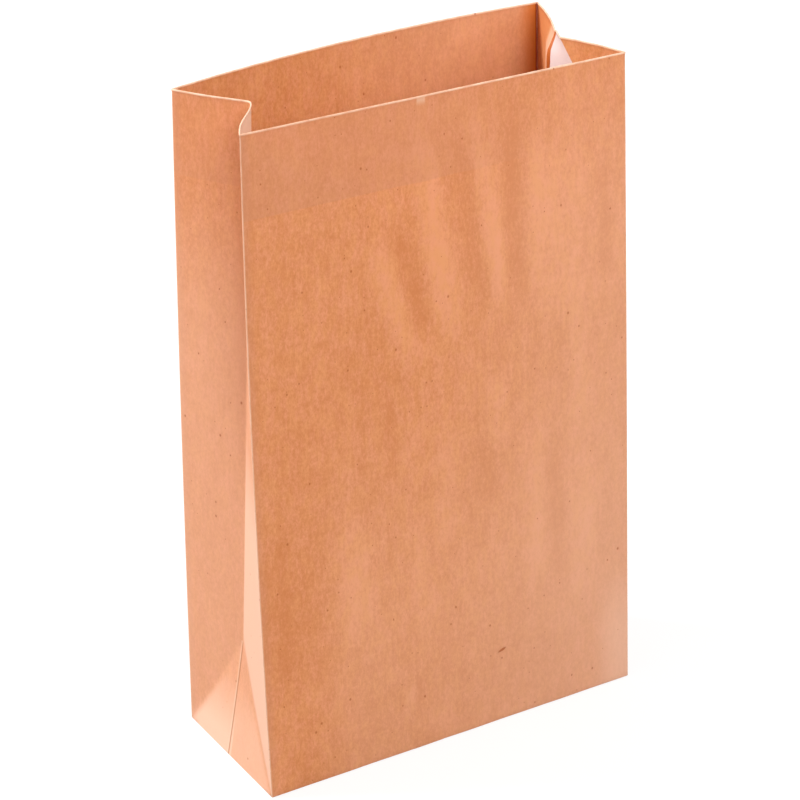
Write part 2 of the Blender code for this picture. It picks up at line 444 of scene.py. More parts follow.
@dataclass(frozen=True)
class KraftFinish:
    """Unbleached kraft paper: warm brown, mottled, streaked up the sheet, with bark flecks, pale lines along its
    folds that are partly wear and partly painted highlight, and painted light and shade.
    """

    sheet: FlatSheet
    buckles: tuple[Buckle, ...]

    # The parts of the colour, with the colours of the painted light and shade.
    light: Colour = (0.805, 0.347, 0.147, 1.0)
    rosy: Colour = (0.820, 0.347, 0.175, 1.0)
    dark: Colour = (0.650, 0.230, 0.080, 1.0)
    # The colour of the painted highlights and reflections, outside and inside.
    pale: Colour = (0.95, 0.59, 0.42, 1.0)
    # Pale lines along the folds, partly wear and partly painted highlight, and the painted highlight inside at the
    # left gusset's mouth.
    wear_and_highlight: Colour = (0.94, 0.70, 0.52, 1.0)
    # The painted reflection on the facet of the pinch at the right gusset's mouth.
    painted_reflection: Colour = (0.80, 0.67, 0.65, 1.0)
    inner_shade: Colour = (0.95, 1.03, 1.02, 1.0)
    # The painted shade inside, beside the back right fold.
    painted_corner_shade: Colour = (0.66, 0.175, 0.008, 1.0)
    # The painted shade of the hem's two plies and beside the left corner folds.
    hem_and_fold_shade: Colour = (0.61, 0.26, 0.145, 1.0)
    fleck: Colour = (0.42, 0.095, 0.018, 1.0)
    # The painted shade in the bottom triangles' creases.
    crease_line_shade: Colour = (0.42, 0.13, 0.04, 1.0)
    # The painted shade of the nook behind the pinch.
    nook: Colour = (0.52, 0.12, 0.015, 1.0)
    # The painted shade of the dark line down the back right fold inside.
    fold_line_shade: Colour = (0.38, 0.028, 0.0, 1.0)

    # The surface.
    roughness: float = 0.55
    roughness_swing: float = 0.12
    gloss: float = 0.25
    let_through: float = 0.22
    bump_strength: float = 0.3
    bump_height: float = 0.0004

    # The noises of the bare paper, and the ranges that they are stretched over.
    clouds: tuple[Grain, ...] = (Grain((22.0, 15.0), 2.0, 0.0, 0.30), Grain((120.0, 80.0), 2.0, 3.1, 0.40))
    streaks: tuple[Grain, ...] = (Grain((60.0, 9.0), 1.0, 7.3, 0.26), Grain((330.0, 60.0), 2.0, 1.7, 0.30))
    mottle: tuple[Grain, ...] = (Grain((520.0, 300.0), 3.0, 5.9, 0.80), Grain((1200.0, 700.0), 2.0, 9.1, 0.55))
    relief: tuple[Grain, ...] = (Grain((1500.0, 900.0), 2.0, 2.2, 0.3), Grain((190.0, 90.0), 2.0, 8.8))
    tone_range: Span = (-0.5, 0.5)
    rosy_grain: Grain = Grain((150.0, 75.0), 2.0, 6.6)
    rosy_range: Span = (0.35, 0.65)
    # The unevenness and strength of the buckles' painted light and shade.
    ridge_grain: Grain = Grain((70.0, 28.0), 2.0, 4.1)
    ridge_least: float = 0.35
    ridge_share: float = 0.58

    # The painted shade of the hem, where its two plies let less light through, beside the left corner folds and
    # behind the left crease.
    hem_edge: float = 0.3515
    hem_blur: float = 0.0006
    hem_left: Span = (0.19, 0.10)
    hem_least: float = 0.20
    hem_gusset: float = 0.4
    hem_share: float = 0.36
    front_left_shade: Patch = Patch(0.30, run=(0.007, 0.0012))
    back_left_shade: Stroke = Stroke(0.002, 0.006, 0.30)
    left_crease_shade: Patch = Patch(0.5, run=(-0.013, 0.0), rise=((0.17, 0.26), (0.375, 0.350)), before=0.002)

    # The painted highlights and reflections of the outer face.
    right_highlight: Patch = Patch(0.25, run=(0.09, 0.25), rise=((0.44, 0.30),))
    low_highlight: Patch = Patch(0.16, run=(0.02, 0.07), rise=((0.26, 0.05),))
    foot_highlight: Patch = Patch(0.30, run=(0.220, 0.244), rise=((0.09, 0.03),))
    gusset_highlight: Patch = Patch(0.32, rise=((0.40, 0.24),))
    strip_highlight: Patch = Patch(0.92, rise=((0.250, 0.150),), after=0.0)
    triangle_highlight: float = 0.68
    triangle_blur: float = 0.006
    fore_highlight_loss: float = 0.06
    tip_highlight_loss: Patch = Patch(0.56, rise=((0.020, 0.072),))
    heel_highlight: Patch = Patch(0.6, rise=((0.035, 0.0),))
    girth_slack: float = 0.01

    # The painted light and shade of the inner face, with the pinch and the nook at the right gusset's mouth.
    back_highlight: Patch = Patch(0.20, run=(0.18, 0.05), after=0.0)
    back_fold_shade: Patch = Patch(0.9, run=(0.016, 0.0), after=0.0)
    pinch_shade: Patch = Patch(0.8, run=(-0.036, -0.030), rise=((0.372, 0.390),), before=0.0)
    left_mouth_highlight: Patch = Patch(1.0, run=(-0.0004, 0.0004), rise=((0.345, 0.365),))
    mouth_highlight: Patch = Patch(0.6, run=(0.017, 0.009), rise=((0.350, 0.375),), after=0.0)
    # The painted dark line of shade down the back right fold inside.
    fold_shade_line: Stroke = Stroke(0.0011, 0.0008, 0.95)
    pinch_mouth: float = 0.006
    reflection_edges: tuple[Span, Span, Span] = ((-0.0002, 0.0003), (-0.0002, 0.0005), (1.0, 0.8))
    nook_edges: tuple[Span, Span] = ((-0.0003, 0.0002), (0.62, 0.45))
    nook_share: float = 0.9

    # The pale lines along the folds, partly wear and partly painted highlight, and the painted shade in the bottom
    # triangles' creases.
    rim_line: Stroke = Stroke(0.0006, 0.0007)
    rim_least: float = 0.66
    rim_growth: float = 0.26
    rim_span: Span = (0.05, 0.20)
    corner_line: Stroke = Stroke(0.0004, 0.0007, 0.5)
    lap_line: Stroke = Stroke(0.0022, 0.0010, 0.4)
    lap_place: float = 0.112
    lap_rise: Span = (0.394, 0.398)
    flank_line: Stroke = Stroke(0.0004, 0.0005, 0.5)
    flank_gap: float = 0.0011
    wear_grain: Grain = Grain((120.0, 120.0), 3.0, 4.4)
    wear_range: Span = (0.3, 0.65)
    wear_least: float = 0.6
    crease_shade_line: Stroke = Stroke(0.0004, 0.0006, 0.6)
    groove_slant: float = 0.0030
    groove_top: Span = (0.0755, 0.0705)

    # The bark flecks and the one large chip.
    fleck_cells: tuple[float, float, float] = (260.0, 210.0, 1.0)
    fleck_chance: float = 0.035
    fleck_size: Span = (0.07, 0.12)
    fleck_edge: Span = (1.5, 0.3)
    fleck_share: float = 0.7
    chip_place: Span = (0.158, 0.0475)
    chip_half: Span = (0.0034, 0.0010)
    chip_lie: Span = (0.94, 0.34)
    chip_edge: Span = (1.1, 0.3)
    chip_share: float = 0.8

    def material(self) -> bpy.types.Material:
        """Make the paper's material.

        Returns:
            The material, which reads the sheet's own map and the mark of its inner face.
        """
        graph = Graph(bpy.data.materials.new("kraft_paper"))
        flat = graph.node("ShaderNodeUVMap", {"uv_map": SHEET_MAP}).outputs[0]
        split = graph.node("ShaderNodeSeparateXYZ", {}, {0: flat})
        inside = Signal(graph, graph.node("ShaderNodeAttribute", {"attribute_name": INSIDE_MARK}).outputs["Fac"])
        spot = Spot(graph, flat, Signal(graph, split.outputs[0]), Signal(graph, split.outputs[1]), inside)
        clouds = self._swing(spot, self.clouds)
        colour = self._bare_paper(spot, clouds)
        for share, tint in self._outer_painted_light(spot):
            colour = graph.mix(share * spot.outside, colour, tint)
        colour = graph.mix(inside, colour, graph.mix(1.0, colour, self.inner_shade, "MULTIPLY"))
        for share, tint in self._inner_painted_light(spot):
            colour = graph.mix(share * inside, colour, tint)
        colour = graph.mix(self._wear_and_highlights(spot), colour, self.wear_and_highlight)
        colour = graph.mix(self._crease_shade_lines(spot) * spot.outside, colour, self.crease_line_shade)
        colour = graph.mix(self._flecks(spot), colour, self.fleck)
        self._surface(spot, colour, clouds)
        return graph.owner

    def _surface(self, spot: Spot, colour: Any, clouds: Signal) -> None:
        """Join the colour, roughness and relief to the material's output, letting some light through.

        Args:
            spot: The place on the sheet.
            colour: The finished colour's socket.
            clouds: The sheet's cloudy formation, which varies the roughness.
        """
        graph = spot.graph
        height = self._swing(spot, self.relief)
        bump = graph.node(
            "ShaderNodeBump", {}, {"Strength": self.bump_strength, "Distance": self.bump_height, "Height": height}
        )
        shader = graph.node(
            "ShaderNodeBsdfPrincipled",
            {},
            {
                "Base Color": colour,
                "Roughness": self.roughness + self.roughness_swing * clouds,
                "Specular IOR Level": self.gloss,
                "Normal": bump.outputs[0],
            },
        )
        glow = graph.node("ShaderNodeBsdfTranslucent", {}, {"Color": colour})
        paper = graph.node("ShaderNodeMixShader", {}, {0: self.let_through, 1: shader.outputs[0], 2: glow.outputs[0]})
        graph.node("ShaderNodeOutputMaterial", {}, {0: paper.outputs[0]})

    @staticmethod
    def _swing(spot: Spot, grains: tuple[Grain, ...]) -> Signal:
        """Return the sum of noises, each about 0.

        Args:
            spot: The place on the sheet.
            grains: The noises.

        Returns:
            Their sum.
        """
        total = grains[0].swing(spot)
        for grain in grains[1:]:
            total = total + grain.swing(spot)
        return total

    def _bare_paper(self, spot: Spot, clouds: Signal) -> Any:
        """Return the colour of the paper with the buckles' painted light and shade, before the other tints and lines.

        Args:
            spot: The place on the sheet.
            clouds: The sheet's cloudy formation.

        Returns:
            The colour's socket.
        """
        tone = clouds + self._swing(spot, self.streaks) + self._swing(spot, self.mottle)
        uneven = self.ridge_grain.raw(spot) + self.ridge_least
        tone = tone + self._ridge_light_and_shade(spot) * uneven * spot.outside * self.ridge_share
        rosiness = self.rosy_grain.raw(spot).smooth(*self.rosy_range)
        light = spot.graph.mix(rosiness, self.light, self.rosy)
        return spot.graph.mix(tone.smooth(*self.tone_range), self.dark, light)

    def _ridge_light_and_shade(self, spot: Spot) -> Signal:
        """Return the painted light and shade of the front panel's buckles: paler on the ridges, darker in the
        hollows.

        Args:
            spot: The place on the sheet.

        Returns:
            The buckles' summed rise in millimetres.
        """
        shades = [buckle.shade(spot.around, spot.up, self.sheet.width / 2) for buckle in self.buckles]
        total = shades[0]
        for shade in shades[1:]:
            total = total + shade
        return total

    def _outer_painted_light(self, spot: Spot) -> list[tuple[Signal, Colour]]:
        """Return the painted shade and highlights of the outer face, in the order in which they lie.

        Args:
            spot: The place on the sheet.

        Returns:
            How strongly each tint shows, with its colour.
        """
        beside_front = self.front_left_shade.show(spot.around, spot.up)
        beside_back = self.back_left_shade.show(spot.around - self.sheet.back_left_fold)
        off_crease = spot.around - self.sheet.left_crease
        return [
            (self._hem(spot), self.hem_and_fold_shade),
            (beside_front.most(beside_back), self.hem_and_fold_shade),
            (self.left_crease_shade.show(off_crease, spot.up), self.dark),
            (self._painted_highlights(spot), self.pale),
        ]

    def _inner_painted_light(self, spot: Spot) -> list[tuple[Signal, Colour]]:
        """Return the painted light and shade of the inner face, in the order in which they lie.

        Args:
            spot: The place on the sheet.

        Returns:
            How strongly each tint shows, with its colour.
        """
        off_fold = spot.around - self.sheet.back_right_fold
        return [
            (self.back_highlight.show(off_fold, spot.up), self.pale),
            (self.back_fold_shade.show(off_fold, spot.up), self.painted_corner_shade),
            (self.pinch_shade.show(off_fold, spot.up), self.dark),
            (self.left_mouth_highlight.show(spot.around - self.sheet.left_crease, spot.up), self.wear_and_highlight),
            (self.mouth_highlight.show(spot.around - self.sheet.right_crease, spot.up), self.pale),
            (self._pinch_reflection(spot), self.painted_reflection),
            (self._nook(spot), self.nook),
            (self.fold_shade_line.show(off_fold), self.fold_line_shade),
        ]

    def _hem(self, spot: Spot) -> Signal:
        """Return the painted shade of the hem's two plies, which let less light through.

        Args:
            spot: The place on the sheet.

        Returns:
            The shade: most on the front panel's left part, and 0 below the hem.
        """
        left = spot.around.smooth(*self.hem_left).most((spot.around > self.sheet.back_left_fold) * self.hem_gusset)
        edge = spot.up.smooth(self.hem_edge - self.hem_blur, self.hem_edge + self.hem_blur)
        return edge * (self.hem_least + (1 - self.hem_least) * left) * self.hem_share

    def _painted_highlights(self, spot: Spot) -> Signal:
        """Return the painted highlights and reflections of the outer face.

        Args:
            spot: The place on the sheet.

        Returns:
            The painted highlights: of the front panel, the gussets, the strip along the front left fold above the
                bottom triangle, and the bottom triangles, least at their tips and most along their back feet.
        """
        sheet, around, up = self.sheet, spot.around, spot.up
        right_gusset = (around > sheet.width) * (around < sheet.back_right_fold)
        gussets = (around > sheet.back_left_fold).most(right_gusset)
        fore = (around > sheet.left_crease).most((around < sheet.right_crease) * (around > sheet.width))
        in_triangle = self._in_triangle(spot)
        front = self.right_highlight.show(around, up) + self.low_highlight.show(around, up) + self.foot_highlight.show(around, up)
        sides = gussets * self.gusset_highlight.show(around, up)
        strip = self.strip_highlight.show(around - sheet.left_crease, up) * (1 - in_triangle)
        triangle_light = self.triangle_highlight - self.fore_highlight_loss * fore - self.tip_highlight_loss.show(around, up)
        triangles = gussets * in_triangle * triangle_light
        heel = triangles * self.heel_highlight.show(around, up) * (1 - fore)
        walls = (front * (around < sheet.width)).most(sides).most(strip).most(triangles) + heel
        return walls * (around < sheet.girth + self.girth_slack)

    def _in_triangle(self, spot: Spot) -> Signal:
        """Return where the gussets' bottom triangles lie.

        Args:
            spot: The place on the sheet.

        Returns:
            1 on the triangles, with a soft edge along their slanted folds.
        """
        half = self.sheet.depth / 2
        off = abs(spot.around - self.sheet.right_crease).least(abs(spot.around - self.sheet.left_crease))
        reach = off + spot.up * (half / self.sheet.triangle_height)
        return reach.smooth(half + self.triangle_blur, half - self.triangle_blur)

    def _at_pinch(self, spot: Spot) -> tuple[Signal, Signal, Signal]:
        """Return where a point lies about the pinch at the right gusset's mouth.

        Args:
            spot: The place on the sheet.

        Returns:
            Its distance forward of the centre crease, its drop from the rim as a share of the pinch's
            height, and the pleat's edge at that drop, as a distance forward of the crease.
        """
        run = self.sheet.right_crease - spot.around
        drop = (self.sheet.height - spot.up) / self.sheet.pinch_height
        foot, mouth = self.sheet.pleat_run
        return run, drop, foot + (mouth - foot) * (1 - drop)

    def _pinch_reflection(self, spot: Spot) -> Signal:
        """Return where the painted reflection lies on the pinch at the right gusset's mouth.

        Args:
            spot: The place on the sheet.

        Returns:
            1 on the pinch's pale facet.
        """
        run, drop, pleat = self._at_pinch(spot)
        reach = self.pinch_mouth + (self.sheet.depth / 2 - self.pinch_mouth) * drop
        by_pleat, by_corner, by_foot = self.reflection_edges
        return (run - pleat).smooth(*by_pleat) * (reach - run).smooth(*by_corner) * drop.smooth(*by_foot)

    def _nook(self, spot: Spot) -> Signal:
        """Return where the painted shade of the deep orange nook behind the pinch lies.

        Args:
            spot: The place on the sheet.

        Returns:
            The nook's share on the pleat, fading out down it.
        """
        run, drop, pleat = self._at_pinch(spot)
        by_side, by_foot = self.nook_edges
        return run.smooth(*by_side) * (pleat - run).smooth(*by_side) * drop.smooth(*by_foot) * self.nook_share

    def _groove_lean(self, up: Signal) -> Signal:
        """Return how far back a bottom triangle's crease line has leaned at a height."""
        return (1 - up / self.sheet.triangle_height) * self.groove_slant

    def _wear_and_highlights(self, spot: Spot) -> Signal:
        """Return the pale lines along the folds, partly wear and partly painted highlight.

        Args:
            spot: The place on the sheet.

        Returns:
            The pale lines, thin and broken, along the rim, the corner folds, the lap's end at the rim and the left
            triangle's crease.
        """
        sheet, around, up = self.sheet, spot.around, spot.up
        rim = self.rim_line.show(up - sheet.height)
        wear = rim * (self.rim_least + self.rim_growth * around.smooth(*self.rim_span))
        for corner in (0.0, sheet.width, sheet.back_right_fold, sheet.back_left_fold, sheet.girth):
            wear = wear.most(self.corner_line.show(around - corner))
        lap = self.lap_line.show(around - self.lap_place) * up.smooth(*self.lap_rise)
        flank = self.flank_line.show(around - (sheet.left_crease - self.flank_gap) + self._groove_lean(up))
        wear = wear.most(lap).most(flank * (up < sheet.triangle_height))
        broken = self.wear_grain.raw(spot).smooth(*self.wear_range)
        return wear * (self.wear_least + (1 - self.wear_least) * broken)

    def _crease_shade_lines(self, spot: Spot) -> Signal:
        """Return the painted shade in the creases that run down the bottom triangles, slanting to the back.

        Args:
            spot: The place on the sheet.

        Returns:
            The lines, which end at the triangles' tips.
        """
        lean = self._groove_lean(spot.up)
        left = self.crease_shade_line.show(spot.around - self.sheet.left_crease + lean)
        right = self.crease_shade_line.show(spot.around - self.sheet.right_crease - lean)
        return left.most(right) * spot.up.smooth(*self.groove_top)

    def _flecks(self, spot: Spot) -> Signal:
        """Return the sparse bark flecks, and the one large chip at the foot of the front panel.

        Args:
            spot: The place on the sheet.

        Returns:
            How strongly they show.
        """
        graph = spot.graph
        spread = graph.node("ShaderNodeMapping", {}, {"Vector": spot.flat, "Scale": self.fleck_cells})
        cells = graph.node(
            "ShaderNodeTexVoronoi", {"voronoi_dimensions": "2D"}, {"Vector": spread.outputs[0], "Scale": 1.0}
        )
        pick = graph.node("ShaderNodeSeparateColor", {}, {0: cells.outputs["Color"]})
        chosen, draw = Signal(graph, pick.outputs[0]), Signal(graph, pick.outputs[1])
        least, growth = self.fleck_size
        distance = Signal(graph, cells.outputs["Distance"]) / (draw ** 3 * growth + least)
        flecks = (chosen < self.fleck_chance) * distance.smooth(*self.fleck_edge) * self.fleck_share
        off, over = spot.around - self.chip_place[0], spot.up - self.chip_place[1]
        long_way = (off * self.chip_lie[0] + over * self.chip_lie[1]) / self.chip_half[0]
        short_way = (over * self.chip_lie[0] - off * self.chip_lie[1]) / self.chip_half[1]
        chip = (long_way ** 2 + short_way ** 2).smooth(*self.chip_edge)
        return flecks.most(chip * self.chip_share)


@dataclass(frozen=True)
class FloorFinish:
    """The plain pale floor, which the camera sees as white but for the bag's shadow."""

    colour: Colour = (0.36, 0.36, 0.36, 1.0)
    glow: Colour = (1.0, 1.0, 1.0, 1.0)
    lift: float = 0.66

    def material(self) -> bpy.types.Material:
        """Make the floor's material.

        Returns:
            The material, lifted to white for camera, glossy and transmission rays alone.
        """
        graph = Graph(bpy.data.materials.new("pale_floor"))
        rays = graph.node("ShaderNodeLightPath")
        seen = Signal(graph, rays.outputs["Is Camera Ray"])
        for kind in ("Is Glossy Ray", "Is Transmission Ray"):
            seen = seen.most(Signal(graph, rays.outputs[kind]))
        glow = graph.node("ShaderNodeEmission", {}, {"Color": self.glow, "Strength": seen * self.lift})
        matt = graph.node("ShaderNodeBsdfDiffuse", {}, {"Color": self.colour})
        both = graph.node("ShaderNodeAddShader", {}, {0: matt.outputs[0], 1: glow.outputs[0]})
        graph.node("ShaderNodeOutputMaterial", {}, {0: both.outputs[0]})
        return graph.owner


@dataclass(frozen=True)
class PaperBag(FlatSheet):
    """The bag: one sheet, folded from a box of its size, hemmed at the mouth and closed by its bottom flaps."""

    # The paper, its folds, the hem and the rim.
    ply: float = 0.00015
    rim_radius: float = 0.00042
    rim_neck: float = 0.0016
    rim_turns: tuple[float, ...] = (-60.0, -30.0, 0.0, 30.0, 55.0)
    fold_radius: float = 0.0006
    fold_segments: int = 2
    # The lap down the front panel.
    lap_edge_x: float = -0.010
    lap_width: float = 0.018
    lap_ramp: float = 0.003
    cut_edge: float = 0.00005
    # The bottom triangles.
    triangle_tip_push: float = 0.0120
    triangle_valley: float = 0.0004
    # The gussets and their centre creases.
    left_rim_push: float = 0.0272
    right_rim_push: float = 0.0240
    crease_bow: float = 0.0010
    crease_lines: tuple[float, ...] = (-0.0022, -0.0012, -0.0006, 0.0, 0.0006, 0.0012, 0.0022)
    crease_radius: float = 0.0006
    left_rim_crease_radius: float = 0.0036
    left_rim_shift: Span = (0.0, 0.0012)
    right_rim_shift: Span = (0.0028, 0.0022)
    rim_shift_height: float = 0.022
    gusset_swell: float = 0.0016
    left_swell_share: float = 0.65
    rim_curl: float = 0.0008
    # The right gusset's mouth: its flare, pinch and pleat.
    right_flare: float = 0.0053
    flare_height: float = 0.013
    pinch_run: float = 0.044
    pinch_rim: Span = (-0.0048, -0.0116)
    pleat: Span = (0.0030, -0.0014)
    pleat_rim: Span = (-0.0003, -0.0020)
    pleat_height: float = 0.036
    # The wide panels.
    back_swell: float = 0.0094
    back_swell_power: float = 1.5
    flat_fold_height: float = 0.052
    flat_fold_run: float = 0.050
    flat_fold_fade: float = 0.100
    flat_fold_rise: float = 0.0007
    cockle: float = 0.00022
    cockle_scale: Span = (45.0, 14.0)
    cockle_seeds: dict[Face, float] = field(default_factory=lambda: {Face.FRONT: 0.0, Face.BACK: 5.0})
    stiff_edges: float = 4.0
    # The bottom flaps.
    flap_overlap: float = 0.016
    flap_ease: float = 0.0007
    flap_cut: float = 0.0001
    # The grid and the shading.
    spacing: float = 0.0035
    smooth_angle: float = 32.0
    # The corner folds' leans, and the front panel's ridges and hollows.
    leans: dict[tuple[Side, Face], Lean] = field(
        default_factory=lambda: {
            (Side.LEFT, Face.FRONT): Lean(-0.0018, 0.0104, -0.0008, 0.0022),
            (Side.RIGHT, Face.FRONT): Lean(-0.0062, 0.0145, 0.0003),
            (Side.LEFT, Face.BACK): Lean(0.0007, -0.0077, -0.0008),
            (Side.RIGHT, Face.BACK): Lean(0.0035, 0.0168, 0.0003),
        }
    )
    buckles: tuple[Buckle, ...] = (
        Buckle(-0.050, 0.335, -0.018, 0.230, 0.0080, 0.0006),
        Buckle(-0.019, 0.397, 0.007, 0.240, 0.0090, 0.0007),
        Buckle(0.019, 0.394, 0.041, 0.252, 0.0080, 0.0006),
        Buckle(0.056, 0.394, 0.063, 0.245, 0.0090, 0.0005),
        Buckle(0.078, 0.370, 0.080, 0.235, 0.0160, 0.0005),
        Buckle(0.083, 0.280, 0.096, 0.165, 0.0080, 0.0005),
        Buckle(0.094, 0.150, 0.089, 0.050, 0.0090, 0.0006),
        Buckle(0.000, 0.212, -0.003, 0.118, 0.0080, 0.0004),
        Buckle(0.034, 0.230, 0.034, 0.165, 0.0060, 0.0004),
        Buckle(0.060, 0.190, 0.060, 0.075, 0.0070, 0.0005),
        Buckle(-0.065, 0.168, -0.060, 0.058, 0.0100, 0.0004),
        Buckle(-0.022, 0.158, -0.020, 0.068, 0.0060, 0.0003),
        Buckle(-0.030, 0.052, -0.033, 0.008, 0.0035, 0.0004),
        Buckle(0.031, 0.046, 0.037, 0.016, 0.0035, 0.0002),
        Buckle(-0.031, 0.338, -0.008, 0.250, 0.0075, -0.0005),
        Buckle(0.008, 0.396, 0.026, 0.250, 0.0080, -0.0005),
        Buckle(0.049, 0.400, 0.050, 0.255, 0.0085, -0.0007),
        Buckle(-0.040, 0.240, -0.035, 0.176, 0.0040, -0.0004),
        Buckle(-0.109, 0.170, -0.107, 0.046, 0.0090, -0.0004),
        Buckle(0.028, 0.192, 0.030, 0.138, 0.0060, -0.0003),
        Buckle(0.073, 0.190, 0.075, 0.058, 0.0070, -0.0005),
        Buckle(0.108, 0.350, 0.111, 0.255, 0.0065, -0.0004),
        Buckle(-0.023, 0.052, -0.024, 0.028, 0.0035, -0.0003),
    )

    def build(self) -> bpy.types.Object:
        """Model the bag and dress it in its paper.

        Returns:
            The finished bag.
        """
        bag = self._box()
        self._crease_box(bag)
        self._map_sheet(bag)
        self._fold(bag)
        self._round_folds(bag)
        self._lay_flaps(bag)
        self._give_thickness(bag)
        self._dress(bag)
        return bag

    def _box(self) -> bpy.types.Object:
        """Model an open box of the bag's size, which stands on its closed end.

        Returns:
            The box, in object mode.
        """
        bpy.ops.object.select_all(action="DESELECT")
        bpy.ops.mesh.primitive_cube_add(size=1.0, location=(0.0, 0.0, self.height / 2))
        bag = bpy.context.object
        bag.name = bag.data.name = "folded_paper_bag"
        bag.scale = (self.width, self.depth, self.height)
        bpy.ops.object.transform_apply(location=True, rotation=False, scale=True)
        bpy.ops.object.mode_set(mode="EDIT")
        self._pick(bag, self._facing(2, 1))
        bpy.ops.mesh.delete(type="FACE")
        bpy.ops.object.mode_set(mode="OBJECT")
        return bag

    @staticmethod
    def _facing(axis: int, sign: int) -> Callable[[Any], bool]:
        """Return a test of whether a face looks along an axis, the way of the sign."""
        return lambda face: face.normal[axis] * sign > FACING

    @staticmethod
    def _beside(axis: int) -> Callable[[Any], bool]:
        """Return a test of whether a face runs along an axis, and not across it."""
        return lambda face: abs(face.normal[axis]) < FACING

    @staticmethod
    def _pick(bag: bpy.types.Object, wanted: Callable[[Any], bool]) -> None:
        """Select the faces that are wanted, in edit mode.

        Args:
            bag: The object in edit mode.
            wanted: Says of a face whether it is selected.
        """
        bpy.ops.mesh.select_mode(type="FACE")
        bpy.ops.mesh.select_all(action="DESELECT")
        shape = bmesh.from_edit_mesh(bag.data)
        for face in shape.faces:
            if wanted(face):
                face.select_set(True)
        bmesh.update_edit_mesh(bag.data)

    def _cut(self, bag: bpy.types.Object, wanted: Callable[[Any], bool] | None, place: Place, across: Place) -> None:
        """Bisect faces with a plane.

        Args:
            bag: The object in edit mode.
            wanted: Says of a face whether it is cut. None cuts all of them.
            place: A point on the plane.
            across: The plane's normal.
        """
        if wanted is None:
            bpy.ops.mesh.select_all(action="SELECT")
        else:
            self._pick(bag, wanted)
        bpy.ops.mesh.bisect(plane_co=place, plane_no=across)

    def _slant(self, bag: bpy.types.Object, side: Side, start: Span, run: Span) -> None:
        """Cut a slanted fold line into a gusset, from a start the way that it runs, both in Y and Z."""
        self._cut(bag, self._facing(0, side.value), (0.0, *start), (0.0, run[1], -run[0]))

    def _crease_box(self, bag: bpy.types.Object) -> None:
        """Cut the fold lines and the even grid between them into the box.

        Args:
            bag: The box.
        """
        half_w, half_d = self.width / 2, self.depth / 2
        bpy.ops.object.mode_set(mode="EDIT")
        for side in Side:
            for face in Face:
                self._slant(bag, side, (face.value * half_d, 0.0), (-face.value * half_d, self.triangle_height))
        foot, mouth = self.pleat_run
        self._slant(bag, Side.RIGHT, (self.pinch_run - half_d, self.height), (-self.pinch_run, -self.pinch_height))
        self._slant(bag, Side.RIGHT, (-mouth, self.height), (mouth - foot, -self.pinch_height))
        for height in self._heights():
            self._cut(bag, None, (0.0, 0.0, height), (0.0, 0.0, 1.0))
        for x in self._lap_lines() + self._even(-half_w, half_w):
            self._cut(bag, self._beside(0), (x, 0.0, 0.0), (1.0, 0.0, 0.0))
        for y in [*self.crease_lines, *self._even(-half_d, half_d)]:
            self._cut(bag, self._beside(1), (0.0, y, 0.0), (0.0, 1.0, 0.0))
        bpy.ops.object.mode_set(mode="OBJECT")

    def _even(self, low: float, high: float) -> list[float]:
        """Return evenly spaced lines between two ends."""
        count = round((high - low) / self.spacing)
        return [low + (high - low) * step / count for step in range(1, count)]

    def _lap_lines(self) -> list[float]:
        """Return the lines of the lap: the foot of its ramp, and both sides of its two cut edges."""
        hidden = self.lap_edge_x - self.lap_width
        return [hidden - self.lap_ramp, hidden, self.lap_edge_x, self.lap_edge_x + self.cut_edge]

    def _heights(self) -> list[float]:
        """Return the heights of the rows: the features' own, and even ones between.

        Returns:
            The heights in order.
        """
        rim = self.height - self.rim_radius
        features = [
            self.flat_fold_height,
            self.triangle_height,
            self.height - self.hem_depth - self.cut_edge,
            self.height - self.hem_depth,
            rim - self.rim_neck,
            rim - self.rim_neck / 2,
        ]
        features += [rim + self.rim_radius * math.sin(math.radians(turn)) for turn in self.rim_turns]
        clear = self.spacing / 3
        even = [z for z in self._even(0.0, self.height) if all(abs(z - own) > clear for own in features)]
        return sorted(features + even)

    def _map_sheet(self, bag: bpy.types.Object) -> None:
        """Lay the sheet's own map on the box: distance round it and height, in metres.

        Args:
            bag: The creased box.
        """
        mesh = bag.data
        for layer in list(mesh.uv_layers):
            mesh.uv_layers.remove(layer)
        layer = mesh.uv_layers.new(name=SHEET_MAP)
        half_w, half_d = self.width / 2, self.depth / 2
        for polygon in mesh.polygons:
            normal = polygon.normal
            for loop in polygon.loop_indices:
                co = mesh.vertices[mesh.loops[loop].vertex_index].co
                if normal.y < -FACING:
                    spot = (co.x + half_w, co.z)
                elif normal.x > FACING:
                    spot = (self.right_crease + co.y, co.z)
                elif normal.y > FACING:
                    spot = (self.back_right_fold + half_w - co.x, co.z)
                elif normal.x < -FACING:
                    spot = (self.left_crease - co.y, co.z)
                else:
                    spot = (self.base_start + co.x + half_w, co.y + half_d)
                layer.data[loop].uv = spot

    def corner(self, side: Side, face: Face, height: float) -> Vector:
        """Return where a corner fold lies in plan.

        Args:
            side: Which gusset.
            face: Which wide panel.
            height: The height.

        Returns:
            Its X and Y.
        """
        lean = self.leans[side, face]
        share = height / self.height
        foot = Vector((side.value * self.width / 2, face.value * self.depth / 2))
        return foot + Vector((lean.x, lean.y)) * share + Vector((lean.bow_x, lean.bow_y)) * arch(share)

    def _push(self, side: Side, height: float) -> float:
        """Return how far in a gusset's centre stands.

        Args:
            side: Which gusset.
            height: The height.

        Returns:
            The distance in from the line between the corner folds.
        """
        if height < self.triangle_height:
            share = height / self.triangle_height
            return self.triangle_tip_push * share + self.triangle_valley * arch(share)
        share = (height - self.triangle_height) / (self.height - self.triangle_height)
        rim_push = self.left_rim_push if side is Side.LEFT else self.right_rim_push
        push = self.triangle_tip_push + (rim_push - self.triangle_tip_push) * share + self.crease_bow * arch(share)
        if side is Side.RIGHT:
            push -= self.right_flare * ease(1 - (self.height - height) / self.flare_height)
        return push

